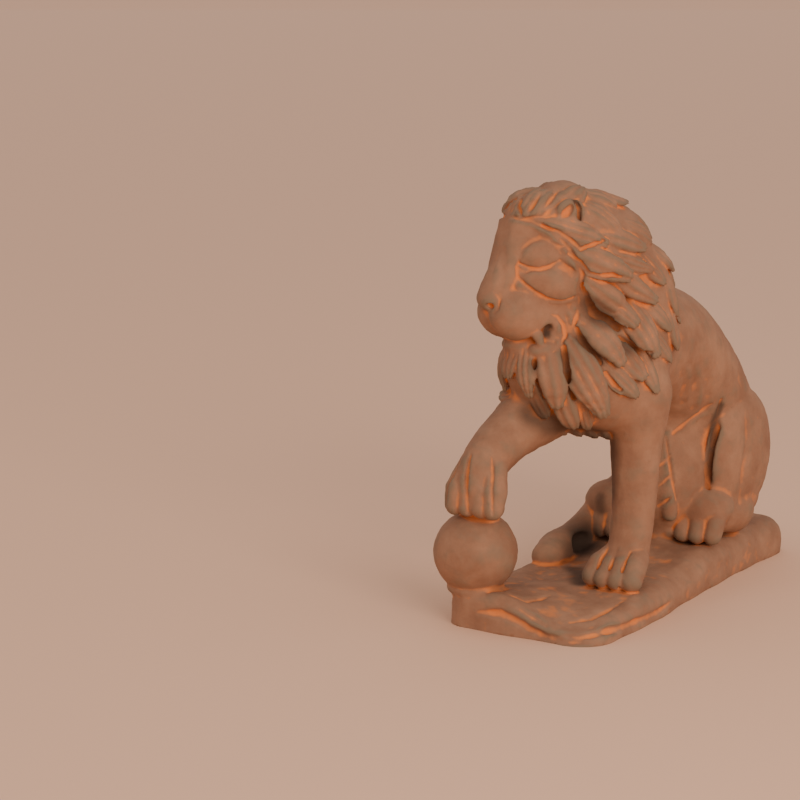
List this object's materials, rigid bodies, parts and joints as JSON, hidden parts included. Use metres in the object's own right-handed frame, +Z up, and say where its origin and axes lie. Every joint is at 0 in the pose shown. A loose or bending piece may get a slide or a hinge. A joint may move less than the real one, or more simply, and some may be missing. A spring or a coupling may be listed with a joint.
{
  "type": "garden lion figure",
  "caption": "Seated cast concrete lion on a thin slab base, turning its head, one forepaw raised on a ball, tail curled beside it.",
  "frame": {"origin": "middle of the base slab's flat underside", "axes": "+Z up, -Y the way the lion's body faces, +X its left side with the straight foreleg"},
  "size_m": [0.2919, 0.7362, 0.6655],
  "materials": {
    "concrete": "matt cast concrete, brown antique wash with rust in the recesses"
  },
  "bodies": {
    "root": {"lion": "concrete"}
  },
  "joints": []
}
